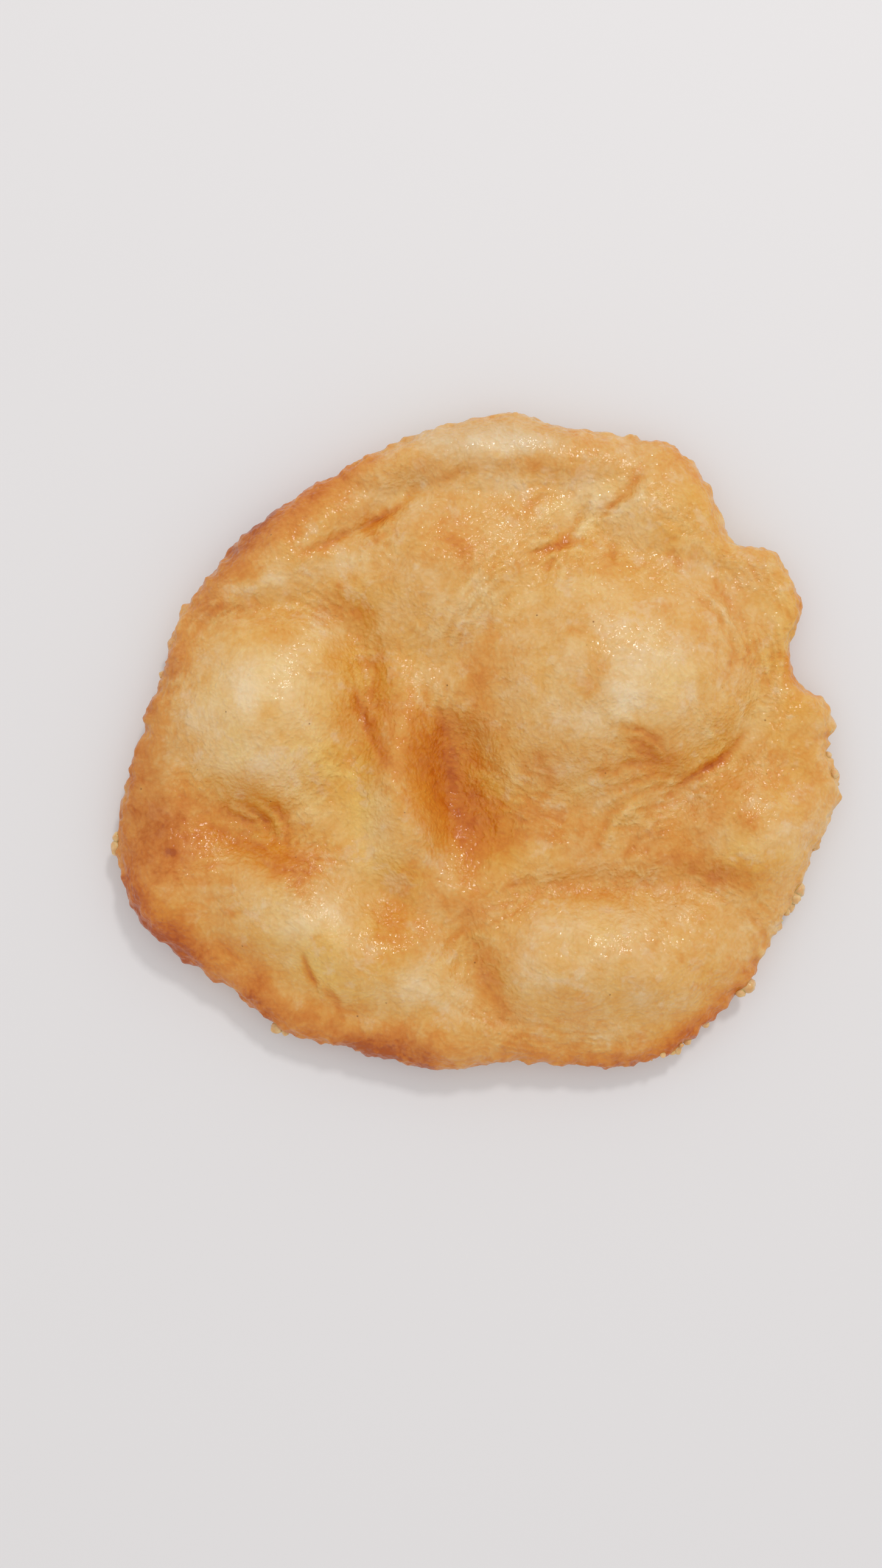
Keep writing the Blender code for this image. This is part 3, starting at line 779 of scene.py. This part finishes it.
def ring_reaches(spacing):
    """How far out each ring of points lies, from 0 in the middle to 1 at the rim, closing up there."""
    steps = round(RIM_RADIUS / spacing)
    share = np.linspace(0.0, 1.0, steps + 1)
    flat_share, flat_reach = 0.84, 0.92
    past = np.clip((share - flat_share) / (1.0 - flat_share), 0.0, 1.0)
    return np.where(
        share < flat_share,
        share * flat_reach / flat_share,
        flat_reach + (1.0 - flat_reach) * (1.0 - (1.0 - past) ** 2),
    )


def zip_rings(outer, outer_bearings, inner, inner_bearings):
    """Triangles between two rings of point numbers, whose counts may differ."""
    i = j = 0
    last_out, last_in = len(outer), len(inner)
    while i < last_out or (j < last_in and last_in > 1):
        next_out = outer_bearings[(i + 1) % last_out] + 360.0 * ((i + 1) // last_out)
        next_in = inner_bearings[(j + 1) % last_in] + 360.0 * ((j + 1) // last_in)
        if i < last_out and (j >= last_in or last_in == 1 or next_out <= next_in):
            yield outer[i], outer[(i + 1) % last_out], inner[j % last_in]
            i += 1
        else:
            yield outer[i % last_out], inner[(j + 1) % last_in], inner[j % last_in]
            j += 1


class Skin:
    """Points of the skin, as bearing, reach and side, and the triangles between them."""

    def __init__(self):
        count = round(math.tau * RIM_RADIUS / TOP_SPACING)
        self.bearings = [np.arange(count) * 360.0 / count]
        self.reaches = [np.ones(count)]
        self.upper = [np.ones(count, dtype=bool)]
        self.size = count
        self.triangles = []
        for spacing, upper in ((TOP_SPACING, True), (UNDER_SPACING, False)):
            self.add_side(count, spacing, upper)

    def add_side(self, rim_count, spacing, upper):
        """Rings of points from the rim's ring in to a point in the middle."""
        outer, outer_bearings = range(rim_count), self.bearings[0]
        for level, reach in enumerate(ring_reaches(spacing)[-2::-1]):
            count = max(1, round(math.tau * RIM_RADIUS * reach / spacing))
            bearings = (np.arange(count) + 0.5 * (level % 2 == 0)) * 360.0 / count
            inner = range(self.size, self.size + count)
            made = zip_rings(outer, outer_bearings, inner, bearings)
            self.triangles += made if upper else (face[::-1] for face in made)
            self.bearings.append(bearings)
            self.reaches.append(np.full(count, reach))
            self.upper.append(np.full(count, upper))
            self.size += count
            outer, outer_bearings = inner, bearings

    def joined(self):
        """Every point's bearing, reach and side."""
        return map(np.concatenate, (self.bearings, self.reaches, self.upper))


def rim_roughness(x, y, z, bearings, inward):
    """How far the rim's flutes, knobs and scallops push the skin out along its normal."""
    turn = np.radians(bearings)
    around = noise_at(FLUTE_CIRCLE * np.cos(turn), FLUTE_CIRCLE * np.sin(turn), FLUTE_SPACING)
    patchy = smooth_step(noise_at(x, y, FLUTED_SPACING), -0.4, 0.3)
    flutes = -FLUTE * patchy * np.abs(around)
    knobs = RIM_KNOB * noise_at(x, y, RIM_KNOB_SPACING, z)
    knobs += RIM_PIMPLE * noise_at(x, y, RIM_PIMPLE_SPACING, z)
    roughness = (flutes + knobs) * np.exp(-((inward / RIM_BAND) ** 2))
    off_nose = inward**2 + (z - nose_height(bearings)) ** 2
    for scallop in SCALLOPS:
        along = np.radians(gap_between(bearings, scallop.bearing)) * RIM_RADIUS
        roughness += scallop.out * np.exp(-(along**2 + off_nose) / scallop.width**2)
    return roughness


def add_object(name, data):
    """A new object in the scene."""
    made = bpy.data.objects.new(name, data)
    bpy.context.scene.collection.objects.link(made)
    return made


def add_attribute(mesh, name, values):
    """Stores one number for each point of a mesh, for its material to read."""
    mesh.attributes.new(name, "FLOAT", "POINT").data.foreach_set("value", values.astype(np.float32))


def build_crust():
    """The whole fried skin as one closed piece."""
    skin = Skin()
    bearings, reach, upper = skin.joined()
    turn = np.radians(bearings)
    radius = rim_radius(bearings)
    x, y = radius * reach * np.cos(turn), radius * reach * np.sin(turn)
    inward = (1.0 - reach) * radius
    nose = nose_height(bearings)
    fullness = np.sqrt(1.0 - reach**RIM_PLUMPNESS)
    inside = smooth_step(inward, 0.0, RELIEF_BAND)
    skin_top = top_height(x, y, reach) + fine_relief(x, y) * inside
    skin_under = under_height(x, y) + fine_under_relief(x, y) * inside
    z = nose + (np.where(upper, skin_top, skin_under) - nose) * fullness
    points = np.column_stack((x, y, z))

    mesh = bpy.data.meshes.new("crust")
    mesh.from_pydata(points.tolist(), [], skin.triangles)
    normals = np.empty(len(points) * 3)
    mesh.vertices.foreach_get("normal", normals)
    points += normals.reshape(-1, 3) * rim_roughness(x, y, z, bearings, inward)[:, None]
    points[:, :2] += outline_shift()
    points[:, 2] = np.maximum(points[:, 2], 0.0)
    mesh.vertices.foreach_set("co", (points * MM).ravel())
    add_attribute(mesh, "browning", browning(x, y, bearings, reach, upper))
    add_attribute(mesh, "golden", golden(x, y))
    add_attribute(mesh, "wrinkled", np.where(upper, wrinkles(x, y)[1], UNDER_WRINKLED))
    mesh.update()
    mesh.shade_smooth()
    crust = add_object("crust", mesh)
    mesh.materials.append(fried_dough())
    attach(crust, "root")
    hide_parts("fry_bread")


# ---------------------------------------------------------------- bubbles along the rim

# A bubble's rise is above the rim's nose.
Bubble = namedtuple("Bubble", "bearing rise radius")
BUBBLES = (
    Bubble(2.0, 1.4, 1.0),
    Bubble(357.9, 0.3, 0.9),
    Bubble(355.0, 1.8, 1.3),
    Bubble(353.4, 0.2, 0.8),
    Bubble(335.4, -0.2, 2.3),
    Bubble(333.9, 1.0, 1.8),
    Bubble(332.5, 0.0, 1.5),
    Bubble(331.4, 1.6, 1.0),
    Bubble(318.1, 0.0, 2.3),
    Bubble(316.6, 0.5, 1.3),
    Bubble(309.2, 0.2, 0.9),
    Bubble(305.3, 0.4, 1.0),
    Bubble(303.4, 0.0, 1.5),
    Bubble(302.4, 0.8, 0.9),
    Bubble(235.1, -0.4, 1.8),
    Bubble(236.7, -0.1, 1.2),
    Bubble(196.4, 0.0, 2.0),
    Bubble(194.8, 0.5, 1.3),
    Bubble(167.8, 0.2, 1.1),
)
BUBBLE_STAND = 0.1  # how far past the rim's outline a bubble's middle lies, in its radii
BUBBLE_TUCK = 0.12  # how far in a bubble lies, for the square of its rise
BUBBLE_DENT = 0.22  # how uneven a bubble is, as a share of its radius
BUBBLE_DENTS = 1.4  # how many dents it has across its radius
BUBBLE_WIDTHS = (0.85, 1.15)  # how stretched it is, and below how flattened
BUBBLE_HEIGHTS = (0.8, 1.0)
BUBBLE_SEED = 5
SMALL_BUBBLES = 12
SMALL_BUBBLE_SEED = 11
SMALL_BUBBLE_SIZES = (0.35, 0.7)  # their smallest and largest radius
SMALL_BUBBLE_STRETCH = (298.0, 366.0)  # the bearings between which they lie


def all_bubbles():
    """The named bubbles, and small ones at random places along the right side."""
    draw = random.Random(SMALL_BUBBLE_SEED)
    yield from BUBBLES
    for _ in range(SMALL_BUBBLES):
        bearing = draw.uniform(*SMALL_BUBBLE_STRETCH)
        yield Bubble(bearing, draw.uniform(-1.5, 2.5), draw.uniform(*SMALL_BUBBLE_SIZES))


def build_bubbles():
    """Small glassy bubbles of dough that blew out of the rim, as one piece."""
    draw = random.Random(BUBBLE_SEED)
    shift = outline_shift()
    blobs = bmesh.new()
    for bubble in all_bubbles():
        bearing = np.array([bubble.bearing])
        out = rim_radius(bearing)[0] + BUBBLE_STAND * bubble.radius - BUBBLE_TUCK * bubble.rise**2
        turn = math.radians(bubble.bearing)
        height = nose_height(bearing)[0] + bubble.rise
        place = Vector((out * math.cos(turn), out * math.sin(turn), height))
        made = bmesh.ops.create_icosphere(blobs, subdivisions=3, radius=bubble.radius)["verts"]
        sides = (BUBBLE_WIDTHS, BUBBLE_WIDTHS, BUBBLE_HEIGHTS)
        stretch = Vector([draw.uniform(*side) for side in sides])
        for vert in made:
            dent = BUBBLE_DENT * noise.noise(vert.co / bubble.radius * BUBBLE_DENTS + place)
            vert.co = vert.co * (1.0 + dent) * stretch + place + Vector((*shift, 0.0))
    bmesh.ops.scale(blobs, verts=blobs.verts, vec=(MM, MM, MM))
    mesh = bpy.data.meshes.new("rim_bubbles")
    blobs.to_mesh(mesh)
    blobs.free()
    mesh.shade_smooth()
    piece = add_object("rim_bubbles", mesh)
    mesh.materials.append(fried_film())
    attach(piece, "root")


# ---------------------------------------------------------------- materials

def linear(hex_code):
    """An sRGB hex colour as the linear colour that shaders take."""
    channels = [int(hex_code[k:k + 2], 16) / 255 for k in (0, 2, 4)]
    return [c / 12.92 if c <= 0.04045 else ((c + 0.055) / 1.055) ** 2.4 for c in channels] + [1.0]


def per_metre(millimetres):
    """A texture's scale for a pattern that repeats at about this size."""
    return 1.0 / (millimetres * MM)


def add_node(tree, kind, sockets=None, stops=(), **settings):
    """Adds a node with its settings, its sockets' values or links, and its ramp's stops."""
    made = tree.nodes.new(kind)
    for name, value in settings.items():
        setattr(made, name, value)
    for name, value in (sockets or {}).items():
        if isinstance(value, bpy.types.NodeSocket):
            tree.links.new(value, made.inputs[name])
        else:
            made.inputs[name].default_value = value
    for number, (place, hex_code) in enumerate(stops):
        ramp = made.color_ramp.elements
        stop = ramp[number] if number < 2 else ramp.new(place)
        stop.position = place
        stop.color = linear(hex_code)
    return made


def start_material(name):
    """An empty material, its node tree and its output."""
    material = bpy.data.materials.new(name)
    material.use_nodes = True
    material.node_tree.nodes.clear()
    output = material.node_tree.nodes.new("ShaderNodeOutputMaterial")
    return material, material.node_tree, output


TOAST_TONES = (  # from dough that barely took colour to the red-brown of a thin rim
    (0.00, "EDD0A3"),
    (0.20, "E6BF87"),
    (0.40, "E0AB63"),
    (0.58, "DB9645"),
    (0.76, "D18031"),
    (0.90, "C36A1A"),
    (1.00, "AF5410"),
)
GOLDEN_TINTS = (  # what the tone is multiplied by, from a dull place to a golden one
    (0.0, "F5F6FB"),
    (0.3, "FFFFFF"),
    (1.0, "FFF0AE"),
)
# The dough's patterns, with their sizes in millimetres. A toast is how much browner one makes the skin.
PULL = 3.0  # how far the fine patterns are pulled out of place
PULL_SIZE = 9.0
FLECK_SIZE = 3.6
FLECK_TOAST = 0.075
CRINKLE_SIZE = 1.3
# painted light and shade: the crinkles' crests made paler, their troughs browner
CRINKLE_PAINTED_LIGHT = -0.22
CRINKLE_DEPTH = 0.55
GRAIN_SIZE = 1.0
GRAIN_TOAST = 0.14
GRAIN_DEPTH = 0.25
PLAIN_TOAST = 0.022  # what brings the three back to the browning of plain sheet
WAX_SIZE = 6.0
WAX_MOST = 0.32  # how much of the wax's colour the waxiest place has
PORE_SPACING = 5.5
PORE_RADII = (0.02, 0.05)  # of its dark middle and of its edge, as shares of the spacing
PORE_DARKNESS = 0.75
PORE_DEPTH = 0.25
OIL_SIZE = 6.0


def fried_dough():
    """Wheat dough, deep-fried: a thin, waxy, golden skin with a film of oil in its crinkles.

    The skin lets light in a little way, so its pale domes glow, and the oil gives small glints.
    """
    material, tree, output = start_material("fried wheat dough")
    place = add_node(tree, "ShaderNodeTexCoord").outputs["Object"]
    # the browning, painted light and shade included, as worked out for each point of the skin
    browning_here = add_node(tree, "ShaderNodeAttribute", attribute_name="browning").outputs["Fac"]

    # the skin was pulled about as it blistered, so its patterns are drawn out this way and that
    pull = add_node(tree, "ShaderNodeTexNoise", {
        "Vector": place, "Scale": per_metre(PULL_SIZE), "Detail": 1.0,
    })
    pulled = add_node(tree, "ShaderNodeVectorMath", {
        0: pull.outputs["Color"], 1: (PULL * MM, PULL * MM, PULL * MM), 2: place,
    }, operation="MULTIPLY_ADD")

    # ragged flecks a few millimetres across, then the crinkles, their crests paler and troughs browner
    # as painted light and shade, and the grains, browner at their sunken edges
    flecks = add_node(tree, "ShaderNodeTexNoise", {
        "Vector": pulled.outputs[0], "Scale": per_metre(FLECK_SIZE), "Detail": 4.0, "Roughness": 0.62,
    })
    flecks = add_node(tree, "ShaderNodeMapRange", {
        "Value": flecks.outputs["Fac"], "From Min": 0.42, "From Max": 0.58,
    }, interpolation_type="SMOOTHSTEP")
    crinkles = add_node(tree, "ShaderNodeTexNoise", {
        "Vector": pulled.outputs[0], "Scale": per_metre(CRINKLE_SIZE), "Detail": 2.0, "Roughness": 0.55,
    })
    grains = add_node(tree, "ShaderNodeTexVoronoi", {
        "Vector": pulled.outputs[0], "Scale": per_metre(GRAIN_SIZE), "Smoothness": 0.6,
    }, feature="SMOOTH_F1")
    uneven = add_node(tree, "ShaderNodeMath", {
        0: flecks.outputs[0], 1: FLECK_TOAST, 2: browning_here,
    }, operation="MULTIPLY_ADD")
    uneven = add_node(tree, "ShaderNodeMath", {
        0: crinkles.outputs["Fac"], 1: CRINKLE_PAINTED_LIGHT, 2: uneven.outputs[0],
    }, operation="MULTIPLY_ADD")
    uneven = add_node(tree, "ShaderNodeMath", {
        0: grains.outputs["Distance"], 1: GRAIN_TOAST, 2: uneven.outputs[0],
    }, operation="MULTIPLY_ADD")
    toast = add_node(tree, "ShaderNodeMath", {
        0: uneven.outputs[0], 1: PLAIN_TOAST,
    }, operation="ADD", use_clamp=True)
    tone = add_node(tree, "ShaderNodeValToRGB", {"Fac": toast.outputs[0]}, stops=TOAST_TONES)

    golden_here = add_node(tree, "ShaderNodeAttribute", attribute_name="golden").outputs["Fac"]
    tint = add_node(tree, "ShaderNodeValToRGB", {"Fac": golden_here}, stops=GOLDEN_TINTS)
    tinted = add_node(tree, "ShaderNodeMix", {
        0: 1.0, 6: tone.outputs[0], 7: tint.outputs[0],
    }, data_type="RGBA", blend_type="MULTIPLY")

    # waxy, pinkish-white patches where the dough stayed moist
    wax = add_node(tree, "ShaderNodeTexNoise", {
        "Vector": pulled.outputs[0], "Scale": per_metre(WAX_SIZE), "Detail": 4.0, "Roughness": 0.65,
    })
    wax_cover = add_node(tree, "ShaderNodeMapRange", {
        "Value": wax.outputs["Fac"], "From Min": 0.54, "From Max": 0.66, "To Max": WAX_MOST,
    }, interpolation_type="SMOOTHSTEP")
    paleness = add_node(tree, "ShaderNodeMapRange", {
        "Value": toast.outputs[0], "From Min": 0.3, "From Max": 0.6, "To Min": 1.0, "To Max": 0.15,
    })
    wax_cover = add_node(tree, "ShaderNodeMath", {
        0: wax_cover.outputs[0], 1: paleness.outputs[0],
    }, operation="MULTIPLY")
    waxed = add_node(tree, "ShaderNodeMix", {
        0: wax_cover.outputs[0], 6: tinted.outputs[2], 7: linear("E8CBA8"),
    }, data_type="RGBA")

    # pores, drawn half a millimetre across so that they show
    pores = add_node(tree, "ShaderNodeTexVoronoi", {
        "Vector": place, "Scale": per_metre(PORE_SPACING), "Randomness": 1.0,
    })
    pore = add_node(tree, "ShaderNodeMapRange", {
        "Value": pores.outputs["Distance"], "From Min": PORE_RADII[0], "From Max": PORE_RADII[1],
        "To Min": 1.0, "To Max": 0.0,
    })
    open_pore = add_node(tree, "ShaderNodeSeparateColor", {0: pores.outputs["Color"]})
    open_pore = add_node(tree, "ShaderNodeMath", {
        0: open_pore.outputs[0], 1: 0.5,
    }, operation="GREATER_THAN")
    pore = add_node(tree, "ShaderNodeMath", {
        0: pore.outputs[0], 1: open_pore.outputs[0],
    }, operation="MULTIPLY")
    darkness = add_node(tree, "ShaderNodeMath", {
        0: pore.outputs[0], 1: PORE_DARKNESS,
    }, operation="MULTIPLY")
    colour = add_node(tree, "ShaderNodeMix", {
        0: darkness.outputs[0], 6: waxed.outputs[2], 7: linear("8A5522"),
    }, data_type="RGBA")

    # the oil lies thicker in some places than in others
    film = add_node(tree, "ShaderNodeTexNoise", {
        "Vector": place, "Scale": per_metre(OIL_SIZE), "Detail": 3.0,
    })
    roughness = add_node(tree, "ShaderNodeMapRange", {
        "Value": film.outputs["Fac"], "From Min": 0.3, "From Max": 0.7, "To Min": 0.34, "To Max": 0.52,
    })

    # the crinkles catch the light most where the skin is wrinkled
    wrinkled = add_node(tree, "ShaderNodeAttribute", attribute_name="wrinkled").outputs["Fac"]
    strength = add_node(tree, "ShaderNodeMapRange", {
        "Value": wrinkled, "From Min": 0.0, "From Max": 1.0, "To Min": 0.55, "To Max": 1.0,
    })
    bump = add_node(tree, "ShaderNodeBump", {
        "Strength": strength.outputs[0], "Distance": CRINKLE_DEPTH * MM,
        "Height": crinkles.outputs["Fac"],
    })
    bump = add_node(tree, "ShaderNodeBump", {
        "Strength": 0.8, "Distance": GRAIN_DEPTH * MM, "Height": grains.outputs["Distance"],
        "Normal": bump.outputs[0],
    }, invert=True)
    pits = add_node(tree, "ShaderNodeBump", {
        "Strength": 0.6, "Distance": PORE_DEPTH * MM, "Height": pore.outputs[0],
        "Normal": bump.outputs[0],
    }, invert=True)

    surface = add_node(tree, "ShaderNodeBsdfPrincipled", {
        "Base Color": colour.outputs[2], "Roughness": roughness.outputs[0], "IOR": 1.46,
        "Metallic": 0.0, "Normal": pits.outputs[0], "Coat Normal": pits.outputs[0],
        "Specular IOR Level": 0.1, "Subsurface Weight": 0.25, "Subsurface Radius": (1.0, 0.45, 0.15),
        "Subsurface Scale": 0.7 * MM, "Coat Weight": 0.65, "Coat Roughness": 0.07, "Coat IOR": 1.46,
    })
    tree.links.new(surface.outputs[0], output.inputs["Surface"])
    return material


def fried_film():
    """A blown film of fried dough: thin enough to see into, pale amber and glossy with oil."""
    material, tree, output = start_material("blown dough film")
    place = add_node(tree, "ShaderNodeTexCoord").outputs["Object"]
    clouds = add_node(tree, "ShaderNodeTexNoise", {
        "Vector": place, "Scale": per_metre(1.6), "Detail": 3.0,
    })
    tone = add_node(tree, "ShaderNodeValToRGB", {"Fac": clouds.outputs["Fac"]}, stops=(
        (0.3, "F3D093"), (0.7, "E0AA62"),
    ))
    surface = add_node(tree, "ShaderNodeBsdfPrincipled", {
        "Base Color": tone.outputs[0], "Roughness": 0.12, "IOR": 1.25, "Metallic": 0.0,
        "Transmission Weight": 0.15, "Subsurface Weight": 0.5, "Subsurface Scale": 1.0 * MM,
        "Coat Weight": 0.8, "Coat Roughness": 0.06,
    })
    tree.links.new(surface.outputs[0], output.inputs["Surface"])
    return material


# ---------------------------------------------------------------- the table, light and camera

FLOOR_SIZE = 3.0  # metres
CAMERA_PLACE = (-0.0091, -0.0109, 0.315)  # metres, above the bread and looking straight down
CAMERA_LENS = 28.1  # millimetres, on a sensor 36 mm along its long side
CAMERA_SENSOR = 36.0
LAMP_PLACE = (0.38, 0.88, 1.05)  # metres
LAMP_SIZE = 0.16
LAMP_POWER = 4.5  # watts
ROOM_BRIGHTNESS = 0.77


def build_floor():
    """A plain pale table."""
    mesh = bpy.data.meshes.new("floor")
    half = FLOOR_SIZE / 2
    mesh.from_pydata([(-half, -half, 0), (half, -half, 0), (half, half, 0), (-half, half, 0)], [],
                     [(0, 1, 2, 3)])
    floor = add_object("floor", mesh)
    material, tree, output = start_material("matt painted table")
    surface = add_node(tree, "ShaderNodeBsdfPrincipled", {
        "Base Color": linear("E9E6E6"), "Roughness": 0.7,
    })
    tree.links.new(surface.outputs[0], output.inputs["Surface"])
    mesh.materials.append(material)


def build_light():
    """A pale room that lights the bread from all round, and a soft lamp beyond its far side."""
    light = bpy.data.lights.new("lamp", "AREA")
    light.size = LAMP_SIZE
    light.energy = LAMP_POWER
    lamp = add_object("lamp", light)
    lamp.location = LAMP_PLACE
    lamp.rotation_euler = (-Vector(LAMP_PLACE)).to_track_quat("-Z", "Y").to_euler()
    world = bpy.data.worlds.new("room")
    world.use_nodes = True
    background = world.node_tree.nodes["Background"]
    background.inputs["Color"].default_value = linear("FFFFFF")
    background.inputs["Strength"].default_value = ROOM_BRIGHTNESS
    bpy.context.scene.world = world


def build_camera():
    """A camera straight above the bread."""
    lens = bpy.data.cameras.new("camera")
    lens.lens = CAMERA_LENS
    lens.sensor_width = CAMERA_SENSOR
    lens.clip_start = 0.01
    camera = add_object("camera", lens)
    camera.location = CAMERA_PLACE
    bpy.context.scene.camera = camera


build_crust()
build_bubbles()
build_floor()
build_light()
build_camera()
bpy.context.scene.view_settings.view_transform = "Standard"
